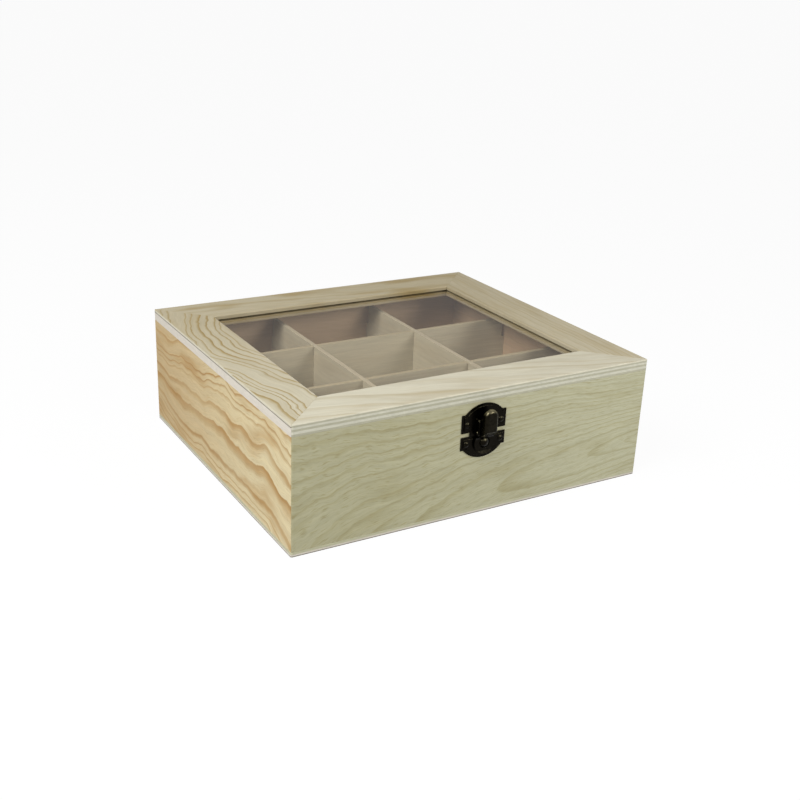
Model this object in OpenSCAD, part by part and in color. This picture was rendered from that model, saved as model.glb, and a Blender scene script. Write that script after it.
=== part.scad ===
// Tea bag organizer box: a flat wooden box in nine cells, with a deep lid that is
// sawn from the same walls. The lid carries a mitred window frame with a clear pane,
// turns on two small butt hinges and shuts with a sprung rocker latch.
// Millimetres. X runs left to right, Y front to back, Z up from the underside.

/* [Box] */
// Outside width, left to right
box_w = 240; // [190:1:300]
// Outside depth, front to back
box_d = 213; // [165:1:270]
// Height of the body, up to the parting line
body_h = 50.5; // [36:0.5:90]
// Height of the lid above the parting line
lid_h = 27; // [22:0.5:60]
// Thickness of the side walls
wall_t = 8; // [7:0.5:12]
// Thickness of the bottom panel
bottom_t = 3; // [2:0.5:6]
// Radius that eases the upright outer corners
corner_r = 1.2; // [0.5:0.1:3]

/* [Window frame] */
// Width of the four top rails
rail_w = 30; // [22:1:40]
// Thickness of the top rails
rail_t = 7; // [5:0.5:12]
// Radius on the long top edges of the rails
rail_edge_r = 0.7; // [0.3:0.1:1.2]
// Thickness of the clear pane
pane_t = 1.5; // [1:0.1:2.5]
// Depth of the groove that holds the pane
groove_depth = 5; // [3:0.5:8]
// Play above the pane in its groove
pane_play = 0.1; // [0.05:0.05:0.4]
// Room between the pane's edge and the bottom of the groove
pane_edge_gap = 0.4; // [0.2:0.1:1]

/* [Dividers] */
// Thickness of the divider boards
divider_t = 3; // [2:0.5:5]
// Height of the dividers above the parting line
divider_rise = 13.5; // [1:0.5:14.5]
// How far the raised part stays clear of the lid walls
divider_setback = 2.5; // [1.5:0.5:6]
// Play of the half-lap slots
slot_play = 0.2; // [0.1:0.05:0.5]

/* [Hinges] */
// Length of a hinge along its pin
hinge_len = 26; // [20:1:40]
// Height of a hinge leaf
leaf_h = 12; // [9:0.5:14]
// Thickness of the hinge metal
leaf_t = 0.9; // [0.6:0.1:1]
// Diameter of the hinge pin
hinge_pin_d = 1.8; // [1.4:0.1:2]
// Outer diameter of the rolled knuckles
knuckle_d = 3.8; // [3.6:0.1:5]
// Distance from the box's side to a hinge's middle
hinge_inset = 46; // [25:1:60]
// Gap between neighbouring knuckles, and from knuckle to wood
knuckle_gap = 0.15; // [0.1:0.05:0.3]

/* [Latch] */
// Width of both latch plates, ear to ear
latch_w = 30; // [28:0.5:36]
// Thickness of the latch plates in their raised middle
plate_t = 1.1; // [0.9:0.1:1.6]
// Thickness of the plates' flat border
border_t = 0.6; // [0.4:0.1:0.8]
// Width of the flat border
border_w = 1.5; // [0.8:0.1:2]
// Height of the upper plate
upper_plate_h = 16.6; // [16:0.2:18]
// Height of the lower plate
lower_plate_h = 14.2; // [13:0.2:18]
// Radius of the plates' round ends
plate_r = 17; // [16:0.5:20]
// Gap between the ears of the two plates
ear_gap = 2.5; // [1.5:0.1:4]
// Lower plate's top edge below the parting line
catch_drop = 0.2; // [0.1:0.1:1]
// Width of the rocker's raised bill at its foot
bill_w = 10; // [9:0.5:11]
// How far the bill stands out from the rocker's back
bill_depth = 7.6; // [7:0.2:10]
// Metal thickness of the rocker
rocker_t = 1; // [0.8:0.1:1.2]
// Radius of the rocker's round lower end
paddle_r = 6.9; // [6:0.1:7.5]
// Diameter of the catch stud
stud_d = 5.8; // [4.5:0.1:6.4]
// Diameter of the rocker's pivot pin
pivot_d = 1.6; // [1.2:0.1:1.8]
// Working gap between latch pieces that move past each other
latch_gap = 0.3; // [0.2:0.05:0.5]

/* [Screws] */
// Diameter of a screw's shank
screw_d = 2; // [1.6:0.1:2.4]
// Length of a screw below its head
screw_len = 7; // [5:0.5:8]
// Diameter of a screw's head
screw_head_d = 3.7; // [3.2:0.1:4.2]
// Height of a screw's head
screw_head_h = 0.9; // [0.7:0.1:1]

/* [Hidden] */

$fn = 64;
cut = 1;              // how far a cutting shape runs past the faces that it cuts
pin_fit = 0.05;       // radial running fit of every pin in its bore
pilot_play = 0.05;    // radial room of a screw's shank in the wood

pine = "#d9c89c";
pine_warm = "#d8be8a";
plywood = "#d2c4a0";
bronze = "#3a3128";

// Heights and spans that follow from the driving sizes
top_z = body_h + lid_h;
frame_z = top_z - rail_t;
inner_w = box_w - 2 * wall_t;
inner_d = box_d - 2 * wall_t;
front_y = -box_d / 2;
back_y = box_d / 2;

// Sides of the box by the angle that turns the front to them
FRONT = 0;
RIGHT = 90;
BACK = 180;
LEFT = 270;
function run_length(side) = side % 180 == 0 ? box_w : box_d;
function run_offset(side) = side % 180 == 0 ? box_d / 2 : box_w / 2;

// ---------- outlines ----------

function unit(v) = v / norm(v);

// Points of an outline whose corners are rounded, each by its own radius
function round_corners(points, radii, steps = 8) = [
    for (i = [0 : len(points) - 1])
        let (here = points[i],
             back = unit(points[(i + len(points) - 1) % len(points)] - here),
             ahead = unit(points[(i + 1) % len(points)] - here),
             half = acos(back * ahead) / 2,
             r = radii[i],
             centre = here + unit(back + ahead) * r / sin(half),
             start = here + back * r / tan(half) - centre,
             end = here + ahead * r / tan(half) - centre,
             a0 = atan2(start[1], start[0]),
             turn = (atan2(end[1], end[0]) - a0 + 540) % 360 - 180)
        each r == 0 ? [here]
            : [for (k = [0 : steps]) let (a = a0 + turn * k / steps) centre + r * [cos(a), sin(a)]]
];

module rounded_rectangle(w, d, r) {
    square([w - 2 * r, d], center = true);
    square([w, d - 2 * r], center = true);
    for (x = [-1, 1], y = [-1, 1])
        translate([x * (w / 2 - r), y * (d / 2 - r)]) circle(r);
}

// ---------- wooden walls and rails ----------

module footprint(z, h) {
    translate([0, 0, z]) linear_extrude(h) rounded_rectangle(box_w, box_d, corner_r);
}

// A board along one side, mitred at both ends
module mitred_board(side, width, z, h) {
    half = run_length(side) / 2;
    rotate(side) translate([0, -run_offset(side), z]) linear_extrude(h)
        polygon([[-half, 0], [half, 0], [half - width, width], [width - half, width]]);
}

module wall(side, z, h) {
    intersection() {
        mitred_board(side, wall_t, z, h);
        footprint(z, h);
    }
}

module body_wall(side) { wall(side, bottom_t, body_h - bottom_t); }
module lid_wall(side) { wall(side, body_h, frame_z - body_h); }

module bottom_panel() { color(plywood) footprint(0, bottom_t); }

groove_h = pane_t + pane_play;
groove_z = (rail_t - groove_h) / 2;

// Section of a rail, from its outer edge at 0 to its inner edge, with the pane's groove
module rail_section() {
    r = rail_edge_r;
    difference() {
        union() {
            square([rail_w, rail_t - r]);
            translate([r, 0]) square([rail_w - 2 * r, rail_t]);
            for (x = [r, rail_w - r]) translate([x, rail_t - r]) circle(r);
        }
        translate([rail_w - groove_depth, groove_z]) square([groove_depth + cut, groove_h]);
    }
}

module rail(side) {
    length = run_length(side);
    intersection() {
        mitred_board(side, rail_w, frame_z, rail_t);
        footprint(frame_z, rail_t);
        rotate(side) translate([-length / 2, -run_offset(side), frame_z])
            rotate([90, 0, 90]) linear_extrude(length) rail_section();
    }
}

module window_pane() {
    reach = groove_depth - pane_edge_gap - rail_w;
    color("lightcyan", 0.4) translate([0, 0, frame_z + groove_z]) linear_extrude(pane_t)
        square([box_w + 2 * reach, box_d + 2 * reach], center = true);
}

// ---------- dividers ----------

divider_top = body_h + divider_rise;
divider_half_h = (divider_top - bottom_t) / 2;
cell_w = (inner_w - 2 * divider_t) / 3;
cell_d = (inner_d - 2 * divider_t) / 3;
divider_x = (cell_w + divider_t) / 2;
divider_y = (cell_d + divider_t) / 2;

// Upright board across a span: full width in the body, set back where it rises into the lid
module divider_board(span, crossing, slots_up) {
    slot_w = divider_t + slot_play;
    rotate([90, 0, 0]) translate([0, 0, -divider_t / 2]) linear_extrude(divider_t)
        difference() {
            union() {
                translate([-span / 2, bottom_t]) square([span, body_h - bottom_t]);
                translate([-span / 2 + divider_setback, bottom_t])
                    square([span - 2 * divider_setback, divider_top - bottom_t]);
            }
            for (x = [-crossing, crossing])
                translate([x - slot_w / 2, bottom_t + (slots_up ? divider_half_h : -cut)])
                    square([slot_w, divider_half_h + cut]);
        }
}

module divider_across(y) { color(pine) translate([0, y, 0]) divider_board(inner_w, divider_x, true); }
module divider_along(x) {
    color(pine) translate([x, 0, 0]) rotate(90) divider_board(inner_d, divider_y, false);
}

module divider_front() { divider_across(-divider_y); }
module divider_rear() { divider_across(divider_y); }
module divider_left() { divider_along(-divider_x); }
module divider_right() { divider_along(divider_x); }

// ---------- screws ----------

// Round-headed slotted screw, pointing along -Z with the underside of its head at 0
module screw() {
    slot_w = 0.7;
    slot_depth = 0.5;
    tip_h = 1.5;
    difference() {
        rotate_extrude() {
            translate([0, -screw_len + tip_h]) square([screw_d / 2, screw_len - tip_h]);
            polygon([[0, -screw_len], [screw_d / 2, tip_h - screw_len], [0, tip_h - screw_len]]);
            intersection() {
                square([screw_head_d / 2, screw_head_h]);
                // a dome whose edge lands on the rim of the head
                head_r = (pow(screw_head_d / 2, 2) + pow(screw_head_h, 2)) / (2 * screw_head_h);
                translate([0, screw_head_h - head_r]) circle(head_r, $fn = 96);
            }
        }
        translate([-screw_head_d, -slot_w / 2, screw_head_h - slot_depth])
            cube([2 * screw_head_d, slot_w, slot_depth + cut]);
    }
}

// Pilot hole for a screw, opening at Z = 0
module pilot() {
    translate([0, 0, -screw_len - pilot_play])
        cylinder(d = screw_d + 2 * pilot_play, h = screw_len + cut);
}

// Hole for a screw through sheet metal that lies on Z = 0
module screw_hole(sheet_t) {
    translate([0, 0, -cut]) cylinder(d = screw_d + 2 * pilot_play, h = 2 * cut + sheet_t);
}

// ---------- hinges ----------

barrel_offset = knuckle_d / 2 + knuckle_gap;    // from the back face to the hinge axis
hinge_y = back_y + barrel_offset;
knuckle_len = hinge_len / 3;
hinge_x = box_w / 2 - hinge_inset;
leaf_edge = 0.5;                                // a leaf's inner edge, clear of the pin's plane
leaf_screw_edge = 5;                            // from a leaf's end to its screw
leaf_screw_x = hinge_len / 2 - leaf_screw_edge;
leaf_screw_z = barrel_offset + (leaf_h - barrel_offset) / 2;

// Moves the children's frame to a hinge axis: X along the pin, Y outwards, Z up
module at_hinge(x) { translate([x, hinge_y, body_h]) children(); }

// Solid barrel along X between two stations
module barrel(d, from, to) {
    translate([from, 0, 0]) rotate([0, 90, 0]) cylinder(d = d, h = to - from);
}

// One leaf with its knuckles. The body's leaf hangs down with the middle knuckle,
// the lid's leaf stands up with the two outer ones.
module hinge_leaf(on_lid) {
    half = hinge_len / 2;
    mid = knuckle_len / 2;
    corner = 1.5;
    color(bronze) difference() {
        union() {
            mirror([0, 0, on_lid ? 0 : 1]) difference() {
                translate([0, leaf_t - barrel_offset, 0]) rotate([90, 0, 0]) linear_extrude(leaf_t)
                    polygon(round_corners(
                        [[-half, leaf_edge], [half, leaf_edge], [half, leaf_h], [-half, leaf_h]],
                        [0, 0, corner, corner]));
                // room for the other leaf's knuckles
                notch = barrel_offset + knuckle_gap;
                if (on_lid)
                    translate([-mid - knuckle_gap, -barrel_offset - cut, -cut])
                        cube([2 * (mid + knuckle_gap), leaf_t + 2 * cut, notch + cut]);
                else
                    for (s = [-1, 1])
                        translate([s * (half + cut + mid) / 2, 0, 0])
                            translate([-(half + cut - mid) / 2, -barrel_offset - cut, -cut])
                                cube([half + cut - mid, leaf_t + 2 * cut, notch + cut]);
            }
            if (on_lid) {
                barrel(knuckle_d, -half, -mid - knuckle_gap);
                barrel(knuckle_d, mid + knuckle_gap, half);
            } else
                barrel(knuckle_d, -mid, mid);
        }
        barrel(hinge_pin_d + 2 * pin_fit, -half - cut, half + cut);
        for (s = [-1, 1])
            translate([s * leaf_screw_x, -barrel_offset, (on_lid ? 1 : -1) * leaf_screw_z])
                rotate([-90, 0, 0]) screw_hole(leaf_t);
    }
}

// Hinge pin with a low domed head at each end
module hinge_pin() {
    head_h = 0.6;
    head_r = knuckle_d / 2 - 0.4;
    under_head = hinge_len / 2 + pin_fit;
    reach = under_head + head_h / 2;
    color(bronze) rotate([0, 90, 0]) rotate_extrude() {
        translate([0, -reach]) square([hinge_pin_d / 2, 2 * reach]);
        for (end = [0, 1]) mirror([0, end]) intersection() {
            translate([0, under_head]) square([head_r, head_h]);
            translate([0, under_head + head_h - knuckle_d / 2]) circle(knuckle_d / 2);
        }
    }
}

module hinge_leaf_body_left() { at_hinge(-hinge_x) hinge_leaf(false); }
module hinge_leaf_body_right() { at_hinge(hinge_x) hinge_leaf(false); }
module hinge_leaf_lid_left() { at_hinge(-hinge_x) hinge_leaf(true); }
module hinge_leaf_lid_right() { at_hinge(hinge_x) hinge_leaf(true); }
module hinge_pin_left() { at_hinge(-hinge_x) hinge_pin(); }
module hinge_pin_right() { at_hinge(hinge_x) hinge_pin(); }

// Places the children at the four screws of the two leaves on one body, heads outwards
module at_leaf_screws(on_lid) {
    for (x = [-hinge_x, hinge_x], s = [-1, 1])
        translate([x + s * leaf_screw_x, back_y, body_h + (on_lid ? 1 : -1) * leaf_screw_z])
            rotate([-90, 0, 0]) children();
}

module hinge_screws_body() { color(bronze) at_leaf_screws(false) translate([0, 0, leaf_t]) screw(); }
module hinge_screws_lid() { color(bronze) at_leaf_screws(true) translate([0, 0, leaf_t]) screw(); }

// ---------- latch ----------
// Latch outlines are drawn in X and Z, with Z = 0 at the parting line.
// "out" is the distance from the front face of the box.

ear_screw_edge = 3.5;                           // from an ear's end to its screw
ear_x = latch_w / 2 - ear_screw_edge;
upper_edge = ear_gap - catch_drop;              // lower edge of the upper plate's ears
upper_ear_h = 11.1;
lower_ear_h = 8.1;
ear_reach = 2.3;                                // ears stand out past the round end
upper_screw_z = upper_edge + 5;
lower_screw_z = -catch_drop - 4.3;
tab_half = 9.3;                                 // half width of the tab that carries the lugs

// The rocker's pivot and its lugs
rocker_out = plate_t + latch_gap;               // back of the rocker's paddle
boss_r = 1.9;                                   // metal about the pivot
pivot_out = rocker_out + boss_r;
pivot_z = 2.4;
lug_t = 1;
lug_gap = 0.25;
lug_x = bill_w / 2 + lug_gap;                   // inner face of a lug
lug_r = 1.5;                                    // radius of a lug's outer corners
lug_top = 10.6;

// The rocker's bill, paddle and curled lip
bill_out = rocker_out + bill_depth;             // front of the bill
bill_foot_z = pivot_z + 1.4;
bill_top_z = pivot_z + 14.8;
bill_draft = 0.8;                               // each side draws in towards the front
bill_edge_r = 2;
bill_rim = 2.6;                                 // depth of the bill's sides at its top
stud_z = -4.5;
stud_play = 2 * latch_gap;                      // the hole's edge swings past the stud
paddle_bottom = stud_z - paddle_r;
shoulder_z = -1.2;                              // upper end of the paddle's round flanks
lip_h = 2.2;
lip_out = 0.9;                                  // how far the lip curls outwards

// The stud on the lower plate
stud_shank_d = 3;
stud_straight = 1.2;                            // height of its cylindrical part
stud_out = 3.9;

// Turns a drawing in X and Z into a slab that stands out from the front face
module stand_out(from, to) {
    translate([0, front_y - from, body_h]) rotate([90, 0, 0]) linear_extrude(to - from) children();
}

// Move the children's frame to the pivot's axis, and to the stud with Z outwards
module at_pivot() { translate([0, front_y - pivot_out, body_h + pivot_z]) children(); }
module at_stud(out) { translate([0, front_y - out, body_h + stud_z]) rotate([90, 0, 0]) children(); }

// Places the children at the ear screws of one latch plate, heads outwards
module at_ear_screws(z) {
    for (s = [-1, 1]) translate([s * ear_x, front_y, body_h + z]) rotate([90, 0, 0]) children();
}

// Turns a section in "out" and Z into a solid along X
module along_x(from, to) {
    translate([from, front_y, body_h]) rotate([90, 0, 90]) linear_extrude(to - from)
        mirror([1, 0]) children();
}

// Plate outline, drawn upwards from its ear edge and pulled in all round by inset
module plate_outline(height, ear_h, inset) {
    half = latch_w / 2;
    intersection() {
        translate([0, height - plate_r]) circle(plate_r - inset, $fn = 128);
        translate([ear_reach + inset - half, inset]) square([2 * (half - ear_reach - inset), height]);
    }
    translate([inset - half, inset]) square([2 * (half - inset), ear_h - 2 * inset]);
}

module upper_plate_outline(inset) {
    translate([0, upper_edge]) plate_outline(upper_plate_h, upper_ear_h, inset);
}

module lower_plate_outline(inset) {
    translate([0, -catch_drop]) mirror([0, 1]) plate_outline(lower_plate_h, lower_ear_h, inset);
}

// Stamped sheet: a flat border about a raised middle
module stamped_plate() {
    stand_out(0, border_t) children(0);
    stand_out(0, plate_t) children(1);
}

// Holes for a plate's two ear screws
module ear_screw_holes(z) {
    at_ear_screws(z) screw_hole(plate_t);
}

// Side view of a lug: a low upright flange, bent out of the plate
module lug_section() {
    lug_out = pivot_out + lug_r;
    lug_bottom = pivot_z - lug_r - 0.3;
    polygon(round_corners(
        [[border_t, lug_bottom], [lug_out, lug_bottom], [lug_out, lug_top], [border_t, lug_top]],
        [0, lug_r, lug_r, 0]));
}

// Plate on the lid, with a tab that bridges the gap and the lugs for the pivot
module latch_plate() {
    tab_bottom = latch_gap - catch_drop;
    tab_h = upper_edge + border_w;
    color(bronze) difference() {
        union() {
            stamped_plate() {
                upper_plate_outline(0);
                upper_plate_outline(border_w);
            }
            stand_out(0, plate_t) translate([-tab_half, tab_bottom]) square([2 * tab_half, tab_h]);
            along_x(lug_x, lug_x + lug_t) lug_section();
            along_x(-lug_x - lug_t, -lug_x) lug_section();
        }
        ear_screw_holes(upper_screw_z);
        at_pivot() barrel(pivot_d + 2 * pin_fit, -lug_x - lug_t - cut, lug_x + lug_t + cut);
    }
}

// Plate on the body, which carries the stud
module catch_plate() {
    color(bronze) difference() {
        stamped_plate() {
            lower_plate_outline(0);
            lower_plate_outline(border_w);
        }
        ear_screw_holes(lower_screw_z);
        at_stud(-cut) cylinder(d = stud_shank_d + 2 * pin_fit, h = plate_t + 2 * cut);
    }
}

// Riveted stud with a domed head, which the rocker's hole drops over
module catch_stud() {
    shoulder = plate_t + stud_straight;
    dome = stud_out - shoulder;
    r = stud_d / 2;
    dome_r = (r * r + dome * dome) / (2 * dome);  // an arc through the rim and the tip
    color(bronze) at_stud(0) rotate_extrude() {
        square([stud_shank_d / 2, shoulder]);
        translate([0, plate_t]) square([r, stud_straight]);
        intersection() {
            translate([0, shoulder]) square([r, dome]);
            translate([0, stud_out - dome_r]) circle(dome_r, $fn = 96);
        }
    }
}

// Side view of the rocker: curled lip, paddle and raised bill, with a cheek behind the bill
module rocker_section() {
    t = rocker_t;
    neck_z = -1.5;
    heel_z = pivot_z + 0.3;
    lip_z = paddle_bottom - 0.2;                 // the round outline trims the lip
    curl_r = 2;
    bend_r = 1.5;
    edge_r = 0.3;
    polygon(round_corners(
        [[rocker_out, paddle_bottom + lip_h], [rocker_out + lip_out, lip_z],
         [rocker_out + lip_out + t, lip_z], [rocker_out + t, paddle_bottom + lip_h],
         [rocker_out + t, neck_z], [bill_out, bill_foot_z], [bill_out, bill_top_z + cut],
         [bill_out - bill_rim, bill_top_z + cut], [bill_out - bill_rim, bill_top_z - 1],
         [rocker_out, heel_z]],
        [curl_r, edge_r, edge_r, curl_r, bend_r, bend_r, 0, 0, 2, bend_r]));
}

// Hollow behind the bill, open towards the plate
module rocker_hollow_section() {
    floor_z = -0.6;
    roof_z = bill_top_z - rocker_t;
    front = bill_out - rocker_t;
    bend_r = 1;
    polygon(round_corners(
        [[0, floor_z], [rocker_out + rocker_t, floor_z], [front, bill_foot_z + 0.4],
         [front, roof_z], [0, roof_z]],
        [0, bend_r, bend_r, 0, 0]));
}

// Half of the bill's plan, from its middle out, pulled in all round by inset
module bill_half_plan(inset) {
    half = bill_w / 2 - inset;
    front_half = half - bill_draft;
    front = bill_out - inset;
    edge_r = bill_edge_r - inset;
    polygon(round_corners(
        [[0, -cut], [half, -cut], [half, pivot_out], [front_half, front], [0, front]],
        [0, 0, 0, edge_r, 0]));
}

// The bill as a thumb: an upright shaft under a half-round top, from z up
module bill_thumb(inset, z) {
    round_z = bill_top_z - bill_w / 2 + bill_draft / 2;
    translate([0, front_y, body_h + round_z]) rotate([90, 0, 0])
        rotate_extrude(angle = 180) bill_half_plan(inset);
    for (m = [0, 1]) mirror([m, 0, 0]) translate([0, front_y, body_h + z])
        linear_extrude(round_z - z) mirror([0, 1]) bill_half_plan(inset);
}

module rocker_bill() {
    intersection() {
        along_x(-bill_w / 2, bill_w / 2) rocker_section();
        bill_thumb(0, stud_z);
    }
}

// Round lower end, wider than the bill, with a curled lip to lift it by
module rocker_paddle() {
    intersection() {
        along_x(-paddle_r, paddle_r) rocker_section();
        stand_out(0, rocker_out + rocker_t + lip_out) intersection() {
            translate([0, stud_z]) circle(paddle_r);
            translate([-paddle_r, paddle_bottom]) square([2 * paddle_r, shoulder_z - paddle_bottom]);
        }
    }
}

module latch_rocker() {
    half = bill_w / 2;
    color(bronze) difference() {
        union() {
            rocker_bill();
            rocker_paddle();
        }
        intersection() {
            along_x(rocker_t - half, half - rocker_t) rocker_hollow_section();
            bill_thumb(rocker_t, stud_z);
        }
        at_pivot() barrel(pivot_d + 2 * pin_fit, -half - cut, half + cut);
        at_stud(0) cylinder(d = stud_d + 2 * stud_play, h = bill_out);
    }
}

// Pivot pin, riveted over outside both lugs
module latch_pin() {
    under_head = lug_x + lug_t + pin_fit;
    head_h = 0.5;
    color(bronze) at_pivot() {
        barrel(pivot_d, -under_head - head_h / 2, under_head + head_h / 2);
        for (s = [-1, 1]) rotate([0, 90 * s, 0]) translate([0, 0, under_head])
            cylinder(d1 = pivot_d + 0.8, d2 = pivot_d, h = head_h);
    }
}

// Torsion spring about the pivot: a helix with a straight leg at each end.
// Angles are measured about X from the outward direction, towards up.
module latch_spring() {
    wire_r = 0.2;
    coil_play = 0.1;
    coil_r = pivot_d / 2 + coil_play + wire_r;
    turns = 5;
    pitch = 0.75;
    lean = 35;                                   // slope of the front leg away from upright
    start = 180;                                 // the back leg stands up along the plate
    sweep = 360 * turns + 180 - lean;
    leg_back = 5;
    coil_end_out = pivot_out + coil_r * cos(lean);
    leg_front = (bill_out - rocker_t - wire_r - coil_play - coil_end_out) / sin(lean);
    steps = 16;
    sides = 8;
    rings_per = sweep / ceil(sweep / 360 * steps);
    function radial(a) = [0, -cos(a), sin(a)];
    function tangent(a) = [0, sin(a), cos(a)];
    function on_coil(a) = [pitch * ((a - start) / 360 - turns / 2), 0, 0] + coil_r * radial(a);
    path = concat(
        [[on_coil(start) - leg_back * tangent(start), start]],
        [for (a = [start : rings_per : start + sweep + 0.01]) [on_coil(a), a]],
        [[on_coil(start + sweep) + leg_front * tangent(start + sweep), start + sweep]]);
    points = [for (p = path, k = [0 : sides - 1])
        p[0] + wire_r * (cos(360 * k / sides) * radial(p[1]) + sin(360 * k / sides) * [1, 0, 0])];
    last = len(path) - 1;
    faces = concat(
        [[for (k = [0 : sides - 1]) k]],
        [for (i = [0 : last - 1], k = [0 : sides - 1])
            let (n = (k + 1) % sides)
            [i * sides + n, i * sides + k, (i + 1) * sides + k, (i + 1) * sides + n]],
        [[for (k = [sides - 1 : -1 : 0]) last * sides + k]]);
    color("silver") at_pivot() polyhedron(points, faces);
}

module catch_screws() { color(bronze) at_ear_screws(lower_screw_z) translate([0, 0, plate_t]) screw(); }
module latch_screws() { color(bronze) at_ear_screws(upper_screw_z) translate([0, 0, plate_t]) screw(); }

// ---------- wooden pieces ----------

module body_front_wall() {
    color(pine) difference() {
        body_wall(FRONT);
        at_ear_screws(lower_screw_z) pilot();
    }
}

module body_back_wall() {
    color(pine) difference() {
        body_wall(BACK);
        at_leaf_screws(false) pilot();
    }
}

module lid_front_wall() {
    color(pine) difference() {
        lid_wall(FRONT);
        at_ear_screws(upper_screw_z) pilot();
    }
}

module lid_back_wall() {
    color(pine) difference() {
        lid_wall(BACK);
        at_leaf_screws(true) pilot();
    }
}

module body_right_wall() { color(pine) body_wall(RIGHT); }
module body_left_wall() { color(pine_warm) body_wall(LEFT); }
module lid_right_wall() { color(pine) lid_wall(RIGHT); }
module lid_left_wall() { color(pine_warm) lid_wall(LEFT); }
module frame_front_rail() { color(pine) rail(FRONT); }
module frame_right_rail() { color(pine) rail(RIGHT); }
module frame_back_rail() { color(pine) rail(BACK); }
module frame_left_rail() { color(pine_warm) rail(LEFT); }

// ---------- assembly ----------

bottom_panel();
body_front_wall();
body_right_wall();
body_back_wall();
body_left_wall();
divider_front();
divider_rear();
divider_left();
divider_right();
hinge_leaf_body_left();
hinge_leaf_body_right();
hinge_pin_left();
hinge_pin_right();
hinge_screws_body();
catch_plate();
catch_stud();
catch_screws();
lid_front_wall();
lid_right_wall();
lid_back_wall();
lid_left_wall();
frame_front_rail();
frame_right_rail();
frame_back_rail();
frame_left_rail();
window_pane();
hinge_leaf_lid_left();
hinge_leaf_lid_right();
hinge_screws_lid();
latch_plate();
latch_pin();
latch_spring();
latch_screws();
latch_rocker();
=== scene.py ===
"""Looks of a tea bag organizer box: boards, window, hinges and latch, as an add-on's operators."""
import math
from typing import NamedTuple

import bpy
from mathutils import Matrix, Vector


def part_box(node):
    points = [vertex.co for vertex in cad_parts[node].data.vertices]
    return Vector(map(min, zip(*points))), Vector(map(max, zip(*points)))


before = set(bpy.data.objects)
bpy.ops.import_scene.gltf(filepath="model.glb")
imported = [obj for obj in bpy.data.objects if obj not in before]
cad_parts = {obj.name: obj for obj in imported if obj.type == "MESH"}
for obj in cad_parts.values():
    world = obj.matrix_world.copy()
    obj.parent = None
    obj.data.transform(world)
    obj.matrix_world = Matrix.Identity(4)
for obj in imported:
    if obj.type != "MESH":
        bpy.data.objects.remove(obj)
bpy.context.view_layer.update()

bl_info = {
    "name": "Tea Bag Organizer Box",
    "version": (1, 0, 0),
    "blender": (4, 5, 0),
    "location": "View3D > Sidebar > Tea Box",
    "description": "Gives the box its woods, glass and metal, and sets the studio",
    "category": "Object",
}

MM = 0.001
WHITE = (1.0, 1.0, 1.0, 1.0)
MIX_FACTOR, MIX_A, MIX_B, MIX_RESULT = 0, 6, 7, 2    # sockets of a Mix node set to colours


def linear(code):
    """sRGB hex to linear RGBA."""
    channels = [int(code[i:i + 2], 16) / 255 for i in (1, 3, 5)]
    return tuple(c / 12.92 if c <= 0.04045 else ((c + 0.055) / 1.055) ** 2.4 for c in channels) + (1.0,)


# ---------- settings that a user would change ----------

def colour(name, code, description):
    return bpy.props.FloatVectorProperty(
        name=name, description=description, subtype="COLOR", size=4, min=0, max=1, default=linear(code))


def length(name, millimetres, description):
    return bpy.props.FloatProperty(
        name=name, description=description, unit="LENGTH", min=0, default=millimetres * MM)


def share(name, default, description):
    return bpy.props.FloatProperty(
        name=name, description=description, subtype="FACTOR", min=0, max=1, default=default)


def angle(name, degrees, description):
    return bpy.props.FloatProperty(
        name=name, description=description, subtype="ANGLE", default=math.radians(degrees))


def power(name, watts, description):
    return bpy.props.FloatProperty(name=name, description=description, unit="POWER", min=0, default=watts)


class TeaBoxWood(bpy.types.PropertyGroup):
    # The front wood is greyer and greener than the side wood partly as painted shade, the tint of the shadow
    # side of the box.
    front_pale_shade_tint: colour("Front wood", "#B9B79A", "Earlywood of the front and back walls")
    front_line: colour("Front line", "#948A5C", "Latewood lines of the front and back walls")
    side_pale: colour("Side wood", "#D5C7A0", "Earlywood of the side walls")
    side_line: colour("Side line", "#A0742C", "Latewood lines of the side walls")
    inner_pale: colour("Inner wood", "#CBB19A", "Inner faces of the walls")
    top_pale: colour("Top wood", "#C9C4B0", "Earlywood of the window frame")
    top_line: colour("Top line", "#937D48", "Latewood lines of the window frame")
    divider_pale: colour("Divider wood", "#C9C3B0", "Face of the thin boards inside")
    divider_line: colour("Divider line", "#B5A587", "Faint lines of the thin boards inside")
    cross_edge: colour("Cross edge", "#B2A890", "Sawn top edges of the thin boards that run across")
    along_edge: colour("Along edge", "#BEB6A3", "Sawn top edges of the thin boards from front to back")
    core_pale: colour("Core ply", "#D3CCC0", "White poplar in the core of the plywood")
    core_dark: colour("Glue line", "#6A6354", "Glue lines and end grain in the plywood")
    front_core: colour("Front core ply", "#B1AE98", "Plies whose end grain shows on the front edge")
    front_veneer: colour("Front veneer", "#CBC9B7", "Plies whose long grain shows on the front edge")
    edge_ease: length("Eased edge", 0.16, "How far sandpaper has rounded the arrises")


class TeaBoxMetal(bpy.types.PropertyGroup):
    plating: colour("Plating", "#0F0D0A", "Antique bronze plating")
    # The worn colour is bare metal where the plating is rubbed off, and it also paints a glint on faces that
    # look up.
    worn_and_glint: colour("Worn metal", "#7E775C", "Bare metal where the plating is rubbed off")
    wire: colour("Spring wire", "#A8A6A0", "Drawn spring steel")
    edge_round: length("Edge", 0.12, "Roundness of the stamped edges")


class TeaBoxPane(bpy.types.PropertyGroup):
    tint: colour("Tint", "#F8F6F2", "Colour that one face of the pane lets through")
    mirror: share("Mirror", 0.35, "How much of clear glass's reflection is left")


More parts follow.
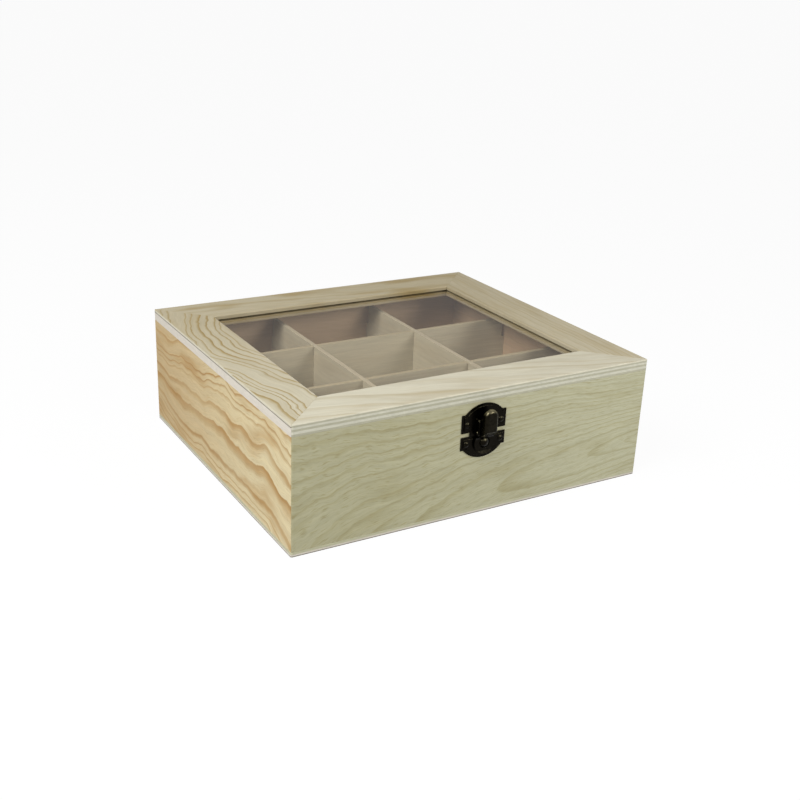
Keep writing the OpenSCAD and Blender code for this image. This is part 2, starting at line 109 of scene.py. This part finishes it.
class TeaBoxStudio(bpy.types.PropertyGroup):
    azimuth: angle("Azimuth", -31.03, "Camera's turn about the box, 0 in front")
    elevation: angle("Elevation", 22.02, "Camera's height angle")
    roll: angle("Roll", 2.37, "Camera's tilt about its line of sight")
    distance: length("Distance", 713.0, "From the camera to its target")
    target: bpy.props.FloatVectorProperty(
        name="Target", description="Point that the camera looks at", subtype="TRANSLATION", size=3,
        default=(-2.68 * MM, -18.1 * MM, 38.75 * MM))
    lens: bpy.props.FloatProperty(
        name="Lens", description="Focal length on a 36 mm sensor", unit="CAMERA", default=50.5)
    key_power: power("Key light", 8.8, "Large soft light from the upper left")
    second_power: power("Second light", 2.28, "Small soft light that fills the front")
    sky: share("Sky", 0.17, "Strength of the even light from all round")
    floor: colour("Floor", "#CBCBCB", "How pale the floor is to the light that falls on it")


class TeaBoxSettings(bpy.types.PropertyGroup):
    wood: bpy.props.PointerProperty(type=TeaBoxWood)
    metal: bpy.props.PointerProperty(type=TeaBoxMetal)
    pane: bpy.props.PointerProperty(type=TeaBoxPane)
    studio: bpy.props.PointerProperty(type=TeaBoxStudio)


# ---------- shared helpers ----------

def add_node(tree, kind, inputs=(), stops=(), **settings):
    """Adds a node, sets it, fills or links its inputs, and returns its outputs. A list fills its first
    inputs in order, and a dictionary goes by name or number. Stops are the colours of a ramp."""
    made = tree.nodes.new("ShaderNode" + kind)
    for name, value in settings.items():
        setattr(made, name, value)
    if stops:
        ramp = made.color_ramp
        while len(ramp.elements) < len(stops):
            ramp.elements.new(1.0)
        for element, (position, rgba) in zip(ramp.elements, stops):
            element.position = position
            element.color = rgba
    for socket, value in inputs.items() if isinstance(inputs, dict) else enumerate(inputs):
        if isinstance(value, bpy.types.NodeSocket):
            tree.links.new(value, made.inputs[socket])
        else:
            made.inputs[socket].default_value = value
    return made.outputs


def new_material(name):
    material = bpy.data.materials.new(name)
    material.use_nodes = True
    material.node_tree.nodes.clear()
    return material, material.node_tree


def coat(node_name, material):
    """Gives a CAD node its one material, and returns its object."""
    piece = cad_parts[node_name]
    piece.data.materials.clear()
    piece.data.materials.append(material)
    return piece


def dress(node_name, material, ease):
    """Gives a CAD node its material, and rounds its arrises by ease with live modifiers. Its mesh is
    loose triangles, so they are joined, and those that lie flat made one face, before the rounding."""
    piece = coat(node_name, material)
    piece.data.shade_smooth()
    weld = piece.modifiers.new("Weld", "WELD")
    weld.merge_threshold = 0.002 * MM
    flat = piece.modifiers.new("Flat faces", "DECIMATE")
    flat.decimate_type = "DISSOLVE"
    flat.angle_limit = math.radians(0.5)
    bevel = piece.modifiers.new("Eased arris", "BEVEL")
    bevel.width = ease
    bevel.segments = 2
    bevel.limit_method = "ANGLE"
    bevel.angle_limit = math.radians(32)
    bevel.use_clamp_overlap = True
    normals = piece.modifiers.new("Flat shading", "WEIGHTED_NORMAL")
    normals.keep_sharp = True


# ---------- wood ----------

AXES = {"X": 0, "Y": 1, "Z": 2}
STILL = (0.0, 100.0, 0.0)    # a swell of no height
HALF_BOARD = 110 * MM        # half the length of a board, over which its colour changes
WALL_SKIN = 2 * MM           # how deep the show face's wood goes into a wall
PLY_DEPTH = 7                # millimetres over which the plies of an edge are listed
UPRIGHT = (0.75, 0.6)        # from the first of these slopes to the second, a face turns upright
UPWARD = (0.6, 0.75)         # and from the first of these to the second, it turns to look up
DARKENS = (0.48, 0.93)       # part of a year over which the new wood darkens
PALES = (0.94, 1.0)          # part of a year over which it turns pale again
YEAR_DRIFT = 3.0             # by how many rings uneven growth shifts them
GOOD_YEARS = 10 / 3          # how many rings a run of good or bad years lasts

# Lengths of a pattern's features along, across and through the board, in millimetres. Real fibres are
# about 3 long and 0.04 wide, too fine to show, so they are drawn as bundles of them.
PATCH = (55.56, 12.5, 20.0)
FLECK = (6.25, 0.4545, 0.4545)
FIBRE = (14.29, 0.6667, 0.6667)
STREAK = (40.0, 2.5, 2.5)
FADED_LINE = (66.67, 16.67, 100.0)


class Grain(NamedTuple):
    """How a board was cut from its log. Lengths are in millimetres."""
    along: str                   # axis that the fibres run along
    across: str                  # axis across the board's wide face
    depth: str                   # axis through the board
    pith: tuple                  # the log's middle: its place across and through the board
    spacing: float               # from one growth ring to the next
    wave: tuple                  # wander of the fibres: height, length
    ripple: tuple                # short kinks of the fibres: height, length
    strength: float              # how dark the latewood is, 1 for pine
    patches: float               # how strong the broad brown patches are, up to 1
    flecks: float                # how dark the short resin flecks are, up to 1
    seed: float                  # place in the noise, so that no two boards are alike
    dive: float = 0.0            # how steeply the fibres dive through the board, which draws arches
    middle: float = 0.0          # place along the board where they lie level
    tilt: float = 0.0            # slope of the lines on the face
    fan: float = 0.0             # how much that slope changes for each millimetre across
    swell: tuple = STILL         # long bend of the fibres: height, length, place of its crest
    # this lean is partly the wood's own tone and partly painted shade, where the light falls off towards one
    # end of a board or the back of the box
    tan: tuple = (0.0, 0.0)      # how far its low end and its high end lean to the lines' colour


GRAINS = {
    "front": Grain(
        "X", "Z", "Y", pith=(10, -106.5), spacing=3.6, dive=0.08, middle=300, tilt=-0.24, fan=0.0046,
        wave=(2.2, 44), ripple=(0.7, 10), strength=0.56, patches=0.35, flecks=0.6, tan=(0.26, 0.0), seed=47),
    "back": Grain(
        "X", "Z", "Y", pith=(-60, 130), spacing=4.5, dive=0.1, tilt=0.04,
        wave=(3, 70), ripple=(0.7, 16), strength=0.4, patches=0.2, flecks=0.4, seed=131),
    "left": Grain(
        "Y", "Z", "X", pith=(-390, -60), spacing=8, dive=0.03, tilt=-0.09, fan=0.0025, swell=(3.5, 190, 60),
        wave=(4.5, 42), ripple=(1.5, 15), strength=1.0, patches=0.6, flecks=0.25, tan=(0.0, 0.45), seed=11),
    "right": Grain(
        "Y", "Z", "X", pith=(-120, 60), spacing=6, dive=0.05, tilt=0.03,
        wave=(4, 70), ripple=(0.8, 18), strength=0.8, patches=0.3, flecks=0.25, tan=(0.3, 0.1), seed=211),
    "rail_left": Grain(
        "Y", "X", "Z", pith=(-260, 60), spacing=5.6, dive=0.05, swell=(14, 220, 28),
        wave=(3.5, 40), ripple=(1.2, 13), strength=1.35, patches=0.25, flecks=0.15, tan=(0.2, 0.46), seed=83),
    "rail_right": Grain(
        "Y", "X", "Z", pith=(20, 60), spacing=4.6, dive=0.05, tilt=-0.03,
        wave=(1.5, 60), ripple=(0.5, 14), strength=0.5, patches=0.25, flecks=0.2, tan=(0.38, 0.45), seed=311),
    "rail_front": Grain(
        "X", "Y", "Z", pith=(-300, 60), spacing=12, dive=0.2, tilt=0.26,
        wave=(3, 60), ripple=(0.6, 14), strength=0.35, patches=0.35, flecks=0.1, tan=(0.03, 0.06), seed=401),
    "rail_back": Grain(
        "X", "Y", "Z", pith=(40, 60), spacing=11, dive=0.15, tilt=0.05,
        wave=(3, 60), ripple=(0.6, 16), strength=0.3, patches=0.7, flecks=0.2, tan=(0.44, 0.52), seed=425),
    "across": Grain(
        "X", "Z", "Y", pith=(-200, 50), spacing=3, dive=0.02,
        wave=(1, 80), ripple=(0.3, 20), strength=0.2, patches=0.2, flecks=0.1, seed=607),
    "along": Grain(
        "Y", "Z", "X", pith=(-200, 50), spacing=3, dive=0.02,
        wave=(1, 80), ripple=(0.3, 20), strength=0.2, patches=0.2, flecks=0.1, seed=701),
    "bottom": Grain(
        "X", "Y", "Z", pith=(-300, 90), spacing=9, dive=0.1, tilt=0.02,
        wave=(4, 80), ripple=(0.8, 20), strength=0.4, patches=0.2, flecks=0.2, seed=809),
}


def figure(tree, place, lengths, detail=2.0, roughness=0.5):
    """Soft figure in wood, 0 to 1, whose features have these lengths on the three axes."""
    per_mm = [1 / feature for feature in lengths]
    squeezed = add_node(tree, "Mapping", {"Vector": place, "Scale": per_mm})[0]
    return add_node(tree, "TexNoise", {
        "Vector": squeezed, "Scale": 1, "Detail": detail, "Roughness": roughness})[0]


def fibre_bend(tree, board, along, grain):
    """How far the fibres stand off a straight line, in millimetres: a long swell, a wander and kinks."""
    swell_height, swell_span, crest = grain.swell
    turn = 2 * math.pi / swell_span
    phase = add_node(tree, "Math", [along, turn, math.pi / 2 - turn * crest], operation="MULTIPLY_ADD")[0]
    swell = add_node(tree, "Math", [phase], operation="SINE")[0]
    bend = add_node(tree, "Math", [swell, swell_height], operation="MULTIPLY")[0]
    wave_height, wave_span = grain.wave
    kink_height, kink_span = grain.ripple
    wander = figure(tree, board, (wave_span, wave_span / 0.6, 250), 1, 0.4)
    kink = figure(tree, board, (kink_span, kink_span, 100), 2, 0.5)
    for drift, height in ((wander, wave_height), (kink, kink_height)):
        # noise seldom leaves the middle quarter of its range, so it is stretched fourfold
        centred = add_node(tree, "Math", [drift, 0.5], operation="SUBTRACT")[0]
        bend = add_node(tree, "Math", [centred, 4 * height, bend], operation="MULTIPLY_ADD")[0]
    return bend


def growth_rings(tree, board, grain):
    """Latewood lines, 0 to 1, and the board's coordinates straightened along its fibres."""
    spot = add_node(tree, "SeparateXYZ", [board])
    bend = fibre_bend(tree, board, spot[0], grain)
    slope = add_node(tree, "Math", [spot[1], grain.fan, grain.tilt], operation="MULTIPLY_ADD")[0]
    sloped = add_node(tree, "Math", [spot[0], slope, spot[1]], operation="MULTIPLY_ADD")[0]
    level = add_node(tree, "Math", [sloped, bend], operation="ADD")[0]
    straight = add_node(tree, "CombineXYZ", [spot[0], level, spot[2]])[0]

    # radius about the pith, which lies deeper or shallower along the board
    across = add_node(tree, "Math", [level, grain.pith[0]], operation="SUBTRACT")[0]
    start = -grain.dive * grain.middle - grain.pith[1]
    sunk = add_node(tree, "Math", [spot[0], grain.dive, start], operation="MULTIPLY_ADD")[0]
    through = add_node(tree, "Math", [sunk, spot[2]], operation="ADD")[0]
    section = add_node(tree, "CombineXYZ", [across, through])[0]
    radius = add_node(tree, "VectorMath", [section], operation="LENGTH")["Value"]

    # years differ, so the rings are unevenly spaced and unevenly dark
    years = add_node(tree, "TexNoise", {
        "W": radius, "Scale": 1 / (GOOD_YEARS * grain.spacing), "Detail": 1}, noise_dimensions="1D")[0]
    even = add_node(tree, "Math", [radius, grain.spacing], operation="DIVIDE")[0]
    ring = add_node(tree, "Math", [years, YEAR_DRIFT, even], operation="MULTIPLY_ADD")[0]
    count = add_node(tree, "Math", [ring], operation="FLOOR")[0]
    chance = add_node(tree, "TexWhiteNoise", {"W": count}, noise_dimensions="1D")[0]
    dark = add_node(tree, "MapRange", [chance, 0, 1, 0.5, 1])[0]
    faded = add_node(tree, "MapRange", [figure(tree, board, FADED_LINE), 0.34, 0.6, 0.6, 1])[0]

    # in a year the wood darkens slowly, then ends at once
    year = add_node(tree, "Math", [ring], operation="FRACT")[0]
    darkens = add_node(tree, "MapRange", [year, *DARKENS], interpolation_type="SMOOTHSTEP")[0]
    pales = add_node(tree, "MapRange", [year, *PALES, 1, 0], interpolation_type="SMOOTHSTEP")[0]
    late = add_node(tree, "Math", [darkens, pales], operation="MULTIPLY")[0]
    lines = add_node(tree, "Math", [late, 1.6], operation="POWER")[0]
    for part in (dark, faded, grain.strength):
        lines = add_node(tree, "Math", [lines, part], operation="MULTIPLY")[0]
    return lines, straight


def plywood_edge(tree, height, across, upright, plies):
    """Where a plywood edge shows, and its colours, listed in millimetres down from its top face."""
    listed, top, outer = plies
    below = add_node(tree, "MapRange", [height, top, top - PLY_DEPTH * MM])[0]
    stops = [(down / PLY_DEPTH, rgba) for down, rgba in listed]
    colours = add_node(tree, "ValToRGB", [below], stops=stops)[0]
    out = add_node(tree, "Math", [across], operation="ABSOLUTE")[0]
    edge = add_node(tree, "Math", [out, outer], operation="GREATER_THAN")[0]
    return add_node(tree, "Math", [upright, edge], operation="MULTIPLY")[0], colours


def board_material(name, colours, grain, plies=None, inner=None, cut=None):
    """Planed softwood board, sanded and unvarnished: dull, with latewood lines that follow the rings
    of a wavy log, broad brown patches, short resin flecks and fine fibres along them.
    plies: colours of the plywood's edge, height of its top, and how far from the middle it is seen.
    inner: how far from the middle the show face's wood begins, and the colour of the face behind it.
    cut: colour of the sawn edge that looks up."""
    material, tree = new_material(name)
    wood, line = [tuple(colour) for colour in colours]
    spot = add_node(tree, "TexCoord")
    parts = add_node(tree, "SeparateXYZ", [spot["Object"]])
    level = add_node(tree, "SeparateXYZ", [spot["Normal"]])[2]
    along, across, depth = [parts[AXES[axis]] for axis in (grain.along, grain.across, grain.depth)]
    turned = add_node(tree, "CombineXYZ", [along, across, depth])[0]
    board = add_node(tree, "VectorMath", {0: turned, "Scale": 1 / MM}, operation="SCALE")[0]

    lines, straight = growth_rings(tree, board, grain)
    place = add_node(tree, "VectorMath", [straight, (grain.seed,) * 3], operation="ADD")[0]
    patch = add_node(tree, "MapRange", [figure(tree, place, PATCH), 0.45, 0.75, 0, grain.patches],
                     interpolation_type="SMOOTHSTEP")[0]
    fleck = add_node(tree, "MapRange", [figure(tree, place, FLECK), 0.55, 0.7, 0, grain.flecks])[0]
    # painted shade in part: one end of a board, or the whole of a back or side rail, is pushed towards the
    # lines' colour where less light falls, besides the wood's own tone
    toned_and_shaded = add_node(tree, "MapRange", [along, -HALF_BOARD, HALF_BOARD, *grain.tan],
                      interpolation_type="SMOOTHSTEP")[0]
    layers = [(toned_and_shaded, line), (patch, line), (fleck, line), (lines, line)]
    if inner or plies:
        steep = add_node(tree, "Math", [level], operation="ABSOLUTE")[0]
        upright = add_node(tree, "MapRange", [steep, *UPRIGHT])[0]
    if inner:
        skin, plain = inner
        out = add_node(tree, "Math", [depth], operation="ABSOLUTE")[0]
        behind = add_node(tree, "MapRange", [out, skin, skin - 0.5 * MM, 0, 0.85])[0]
        layers.append((add_node(tree, "Math", [behind, upright], operation="MULTIPLY")[0], plain))
    if plies:
        layers.append(plywood_edge(tree, parts[2], across, upright, plies))
    if cut:
        layers.append((add_node(tree, "MapRange", [level, *UPWARD])[0], cut))
    for amount, over in layers:
        wood = add_node(tree, "Mix", {MIX_FACTOR: amount, MIX_A: wood, MIX_B: over},
                        data_type="RGBA")[MIX_RESULT]

    # fibres and broad streaks along them are a little darker and paler than the wood
    fibre = figure(tree, place, FIBRE, 3, 0.6)
    fine = add_node(tree, "MapRange", [fibre, 0.3, 0.7, 0.92, 1.07])[0]
    broad = add_node(tree, "MapRange", [figure(tree, place, STREAK, 2, 0.6), 0.3, 0.7, 0.95, 1.04])[0]
    tone = add_node(tree, "Math", [fine, broad], operation="MULTIPLY")[0]
    grey = add_node(tree, "CombineColor", [tone, tone, tone])[0]
    wood = add_node(tree, "Mix", {MIX_FACTOR: 1.0, MIX_A: wood, MIX_B: grey},
                    data_type="RGBA", blend_type="MULTIPLY")[MIX_RESULT]

    # sanding leaves the fibres and the hard latewood standing by hundredths of a millimetre
    rough = add_node(tree, "MapRange", [fibre, 0, 1, 0.5, 0.72])[0]
    relief = add_node(tree, "Math", [lines, 0.3, fibre], operation="MULTIPLY_ADD")[0]
    bump = add_node(tree, "Bump", {"Height": relief, "Strength": 0.3, "Distance": 0.04 * MM})[0]
    surface = add_node(tree, "BsdfPrincipled", {
        "Base Color": wood, "Roughness": rough, "Normal": bump, "IOR": 1.45, "Specular IOR Level": 0.35})[0]
    add_node(tree, "OutputMaterial", {"Surface": surface})
    return material


class TEABOX_OT_walls(bpy.types.Operator):
    """Dress the four sides of the body and lid"""
    bl_idname = "teabox.walls"
    bl_label = "Walls"

    def execute(self, context):
        # Pine, planed, sanded and left bare: dull, with orange-brown latewood that shows most at the sides.
        wood = context.scene.tea_box.wood
        # the front and back walls take the front wood, whose grey-green tint is partly painted shade
        front, side = (wood.front_pale_shade_tint, wood.front_line), (wood.side_pale, wood.side_line)
        for name, colours in {"front": front, "back": front, "left": side, "right": side}.items():
            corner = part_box(f"body_{name}_wall")[1 if name in ("back", "right") else 0]
            outside = abs(corner.y if name in ("front", "back") else corner.x)
            inner = (outside - WALL_SKIN, tuple(wood.inner_pale))
            material = board_material("planed_pine_" + name, colours, GRAINS[name], inner=inner)
            for part in ("body", "lid"):
                dress(f"{part}_{name}_wall", material, wood.edge_ease)
        return {"FINISHED"}


class TEABOX_OT_window_frame(bpy.types.Operator):
    """Dress the four mitred rails of the lid"""
    bl_idname = "teabox.window_frame"
    bl_label = "Window frame"

    def execute(self, context):
        # Pine-faced poplar plywood, sawn and sanded: its outer edges show white plies and dark glue
        # lines at the sides, and grey and cream plies in turn at the front and back.
        wood = context.scene.tea_box.wood
        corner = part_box("frame_back_rail")[1]
        face, white, dark = tuple(wood.top_pale), tuple(wood.core_pale), tuple(wood.core_dark)
        cream, grey = tuple(wood.front_veneer), tuple(wood.front_core)
        side_plies = [(0.0, face), (1.26, face), (1.4, dark), (1.75, dark), (1.89, white), (7.0, white)]
        front_plies = [
            (0.0, face), (0.7, face), (0.91, grey), (1.61, grey), (1.82, cream), (2.8, cream), (3.01, grey),
            (4.06, grey), (4.27, cream), (5.53, cream), (5.74, grey), (7.0, grey)]
        for name in ("front", "back", "left", "right"):
            across_box = name in ("front", "back")
            outer = (corner.y if across_box else corner.x) - 1 * MM
            plies = (front_plies if across_box else side_plies, corner.z, outer)
            material = board_material(
                "pine_faced_plywood_" + name, (wood.top_pale, wood.top_line), GRAINS["rail_" + name], plies)
            dress(f"frame_{name}_rail", material, wood.edge_ease)
        return {"FINISHED"}


class TEABOX_OT_dividers(bpy.types.Operator):
    """Dress the crossed dividers and the bottom panel"""
    bl_idname = "teabox.dividers"
    bl_label = "Dividers and bottom"

    def execute(self, context):
        # Basswood, planed thin: pale and nearly without lines, with a rougher, greyer sawn edge on top.
        wood = context.scene.tea_box.wood
        colours = (wood.divider_pale, wood.divider_line)
        for grain, edge, names in (("across", wood.cross_edge, ("front", "rear")),
                                   ("along", wood.along_edge, ("left", "right"))):
            material = board_material("thin_basswood_" + grain, colours, GRAINS[grain], cut=tuple(edge))
            for name in names:
                dress("divider_" + name, material, wood.edge_ease)

        # Thin poplar plywood for the bottom: its edge is a pale line over a dark one along the foot.
        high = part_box("bottom_panel")[1].z
        wall, white, dark = tuple(wood.front_pale_shade_tint), tuple(wood.core_pale), tuple(wood.core_dark)
        plies = [(0.0, wall), (1.4, wall), (1.61, white), (2.31, white), (2.59, dark), (3.01, dark)]
        panel = board_material("thin_plywood_bottom", colours, GRAINS["bottom"], (plies, high, 0.0))
        dress("bottom_panel", panel, wood.edge_ease)
        return {"FINISHED"}


# ---------- glass ----------

class TEABOX_OT_pane(bpy.types.Operator):
    """Dress the clear pane"""
    bl_idname = "teabox.pane"
    bl_label = "Pane"

    def execute(self, context):
        # Thin float glass: flat and polished, so it bends nothing, and mirrors only at a low angle.
        values = context.scene.tea_box.pane
        material, tree = new_material("thin_float_glass")
        inside = add_node(tree, "NewGeometry")["Backfacing"]
        outer = add_node(tree, "MapRange", [inside, 0, 1, values.mirror, 0])[0]
        fresnel = add_node(tree, "Fresnel", {"IOR": 1.5})[0]
        mirror = add_node(tree, "Math", [fresnel, outer], operation="MULTIPLY")[0]
        clear = add_node(tree, "BsdfTransparent", {"Color": tuple(values.tint)})[0]
        gloss = add_node(tree, "BsdfGlossy", {"Color": WHITE, "Roughness": 0.02})[0]
        both = add_node(tree, "MixShader", [mirror, clear, gloss])[0]
        add_node(tree, "OutputMaterial", {"Surface": both})
        coat("window_pane", material)
        return {"FINISHED"}


# ---------- metal ----------

BLOTCHES = 0.5 / MM                   # blotches in the plating are 2 mm across
DRAWN_LINES = 3 / MM                  # three drawing lines to a millimetre of wire
# Thumbs rub more the further a face stands from the wall; the painted glint on up-facing faces follows these
# depths and keeps about a third of its strength near the wall.
RUBBED_AND_GLINT = (1.5 * MM, 9 * MM)           # thumbs rub more and more from this near the wall to this far
METAL_NODES = (
    "hinge_leaf_body_left", "hinge_leaf_body_right", "hinge_leaf_lid_left", "hinge_leaf_lid_right",
    "hinge_pin_left", "hinge_pin_right", "hinge_screws_body", "hinge_screws_lid",
    "catch_plate", "catch_stud", "catch_screws", "latch_plate", "latch_pin", "latch_screws", "latch_rocker")


def bronze_material(plating, worn_and_glint, wall):
    """Antique bronze: dark plating over stamped steel, so nearly black with soft glints, and rubbed through
    to brown metal on the upper sides that stand furthest from the wall, where thumbs land. The same lighter
    colour on upward-facing faces is also a painted glint, where light from above would shine."""
    material, tree = new_material("antique_bronze")
    spot = add_node(tree, "TexCoord")
    depth = add_node(tree, "SeparateXYZ", [spot["Object"]])[1]
    level = add_node(tree, "SeparateXYZ", [spot["Normal"]])[2]
    blotch = add_node(tree, "TexNoise", {"Vector": spot["Object"], "Scale": BLOTCHES, "Detail": 4})[0]
    near, far = RUBBED_AND_GLINT
    proud = add_node(tree, "MapRange", [depth, wall - near, wall - far, 0.3, 1])[0]
    # painted glint: faces that look up are pushed towards the bare-metal colour, as light from above would
    # shine on them
    glint_facing_up = add_node(tree, "MapRange", [level, 0.3, 0.9, 0.04, 1])[0]
    patchy = add_node(tree, "MapRange", [blotch, 0.35, 0.6, 0.5, 1])[0]
    wear_and_glint = add_node(tree, "Math", [proud, glint_facing_up], operation="MULTIPLY")[0]
    wear_and_glint = add_node(tree, "Math", [wear_and_glint, patchy], operation="MULTIPLY")[0]
    base = add_node(tree, "Mix", {MIX_FACTOR: wear_and_glint, MIX_A: plating, MIX_B: worn_and_glint},
                    data_type="RGBA")[MIX_RESULT]
    rough = add_node(tree, "MapRange", [blotch, 0.3, 0.7, 0.22, 0.38])[0]
    bump = add_node(tree, "Bump", {"Height": blotch, "Strength": 0.15, "Distance": 0.03 * MM})[0]
    surface = add_node(tree, "BsdfPrincipled", {
        "Base Color": base, "Metallic": 1.0, "Roughness": rough, "Normal": bump})[0]
    add_node(tree, "OutputMaterial", {"Surface": surface})
    return material


def wire_material(tone):
    """Spring steel: drawn wire, bright, with faint lines that vary its gloss."""
    material, tree = new_material("drawn_spring_steel")
    place = add_node(tree, "TexCoord")["Object"]
    lines = add_node(tree, "TexNoise", {"Vector": place, "Scale": DRAWN_LINES, "Detail": 2})[0]
    rough = add_node(tree, "MapRange", [lines, 0, 1, 0.2, 0.4])[0]
    surface = add_node(tree, "BsdfPrincipled", {
        "Base Color": tone, "Metallic": 1.0, "Roughness": rough})[0]
    add_node(tree, "OutputMaterial", {"Surface": surface})
    return material


class TEABOX_OT_metalwork(bpy.types.Operator):
    """Dress the latch, the hinges and their screws"""
    bl_idname = "teabox.metalwork"
    bl_label = "Metalwork"

    def execute(self, context):
        metal = context.scene.tea_box.metal
        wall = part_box("body_front_wall")[0].y
        bronze = bronze_material(tuple(metal.plating), tuple(metal.worn_and_glint), wall)
        for name in METAL_NODES:
            dress(name, bronze, metal.edge_round)
        coat("latch_spring", wire_material(tuple(metal.wire))).data.shade_smooth()
        return {"FINISHED"}


# ---------- studio ----------

# Places and sizes are in metres.
FLOOR_SIZE = 30                       # so wide that its edge is out of view
GLOW = 0.95                           # how much of the seen floor glows; the rest takes the shadow
KEY_PLACE, KEY_SIZE, KEY_AIM = (-0.62, -0.22, 0.72), 0.6, (0, 0, 0)
SECOND_PLACE, SECOND_SIZE, SECOND_AIM = (0.29, -0.585, 0.37), 0.3, (0, 0, 0.03)
SENSOR_WIDTH = 36                     # millimetres, as Blender counts it
NEAR_LIMIT = 0.01                     # what is nearer to the camera is not drawn


def camera_place(studio):
    """The camera's matrix, from its angles about the target."""
    flat = math.cos(studio.elevation)
    back = Vector((
        math.sin(studio.azimuth) * flat, -math.cos(studio.azimuth) * flat, math.sin(studio.elevation)))
    right = (-back).cross(Vector((0, 0, 1))).normalized()
    up = back.cross(right)
    turn = Matrix((right, up, back)).transposed() @ Matrix.Rotation(studio.roll, 3, "Z")
    return Matrix.Translation(Vector(studio.target) + back * studio.distance) @ turn.to_4x4()


def soft_light(name, place, aim, size, watts):
    """Adds a square lamp at a place, which shines at aim."""
    bpy.ops.object.light_add(type="AREA", location=place)
    lamp = bpy.context.object
    lamp.name = name
    lamp.data.size = size
    lamp.data.energy = watts
    lamp.rotation_euler = (Vector(aim) - Vector(place)).to_track_quat("-Z", "Y").to_euler()


def paint_material(tone):
    """Matt white studio paint: white to the eye and in reflections, where only shadows darken it, and
    of a plain pale tone to the light that it sends back onto the box."""
    material, tree = new_material("matt_white_paint")
    path = add_node(tree, "LightPath")
    seen = add_node(tree, "Math", [path["Is Camera Ray"], path["Is Glossy Ray"]], operation="MAXIMUM")[0]
    glowing = add_node(tree, "Math", [seen, GLOW], operation="MULTIPLY")[0]
    pale = add_node(tree, "Mix", {MIX_FACTOR: seen, MIX_A: tone, MIX_B: WHITE}, data_type="RGBA")[MIX_RESULT]
    paint = add_node(tree, "BsdfDiffuse", {"Color": pale})[0]
    glow = add_node(tree, "Emission", {"Color": WHITE, "Strength": 1.0})[0]
    both = add_node(tree, "MixShader", [glowing, paint, glow])[0]
    add_node(tree, "OutputMaterial", {"Surface": both})
    return material


def studio_world(strength):
    """An even white sky: of full strength where it is seen, and weak as a light."""
    world = bpy.data.worlds.new("studio")
    world.use_nodes = True
    tree = world.node_tree
    tree.nodes.clear()
    path = add_node(tree, "LightPath")
    seen = add_node(tree, "Math", [path["Is Camera Ray"], path["Is Glossy Ray"]], operation="MAXIMUM")[0]
    seen = add_node(tree, "Math", [seen, path["Is Transmission Ray"]], operation="MAXIMUM")[0]
    level = add_node(tree, "MapRange", [seen, 0, 1, strength, 1])[0]
    sky = add_node(tree, "Background", {"Color": WHITE, "Strength": level})[0]
    add_node(tree, "OutputWorld", {"Surface": sky})
    return world


class TEABOX_OT_studio(bpy.types.Operator):
    """Set the floor, the lights, the background and the camera"""
    bl_idname = "teabox.studio"
    bl_label = "Studio"

    def execute(self, context):
        scene = context.scene
        studio = scene.tea_box.studio
        bpy.ops.mesh.primitive_plane_add(size=FLOOR_SIZE, location=(0, 0, 0))
        floor = context.object
        floor.name = "floor"
        floor.data.materials.append(paint_material(tuple(studio.floor)))
        scene.world = studio_world(studio.sky)
        soft_light("key_light", KEY_PLACE, KEY_AIM, KEY_SIZE, studio.key_power)
        soft_light("second_light", SECOND_PLACE, SECOND_AIM, SECOND_SIZE, studio.second_power)

        bpy.ops.object.camera_add()
        camera = context.object
        camera.matrix_world = camera_place(studio)
        camera.data.lens = studio.lens
        camera.data.sensor_width = SENSOR_WIDTH
        camera.data.clip_start = NEAR_LIMIT
        scene.camera = camera
        scene.view_settings.view_transform = "Standard"
        return {"FINISHED"}


# ---------- panel and registration ----------

class TEABOX_PT_panel(bpy.types.Panel):
    """Lists the box's settings and its operators"""
    bl_idname = "TEABOX_PT_panel"
    bl_label = "Tea Box"
    bl_space_type = "VIEW_3D"
    bl_region_type = "UI"
    bl_category = "Tea Box"

    def draw(self, context):
        settings = context.scene.tea_box
        for group in ("wood", "metal", "pane", "studio"):
            box = self.layout.box()
            box.label(text=group.capitalize())
            values = getattr(settings, group)
            for name in values.__annotations__:
                box.prop(values, name)
        for operator in OPERATORS:
            self.layout.operator(operator.bl_idname)


OPERATORS = (
    TEABOX_OT_walls, TEABOX_OT_window_frame, TEABOX_OT_dividers, TEABOX_OT_pane, TEABOX_OT_metalwork,
    TEABOX_OT_studio)
CLASSES = (TeaBoxWood, TeaBoxMetal, TeaBoxPane, TeaBoxStudio, TeaBoxSettings, *OPERATORS, TEABOX_PT_panel)


def register():
    for cls in CLASSES:
        bpy.utils.register_class(cls)
    bpy.types.Scene.tea_box = bpy.props.PointerProperty(type=TeaBoxSettings)


def unregister():
    del bpy.types.Scene.tea_box
    for cls in reversed(CLASSES):
        bpy.utils.unregister_class(cls)


def main():
    register()
    bpy.ops.teabox.walls()
    bpy.ops.teabox.window_frame()
    bpy.ops.teabox.dividers()
    bpy.ops.teabox.pane()
    bpy.ops.teabox.metalwork()
    bpy.ops.teabox.studio()


if __name__ == "__main__":
    main()
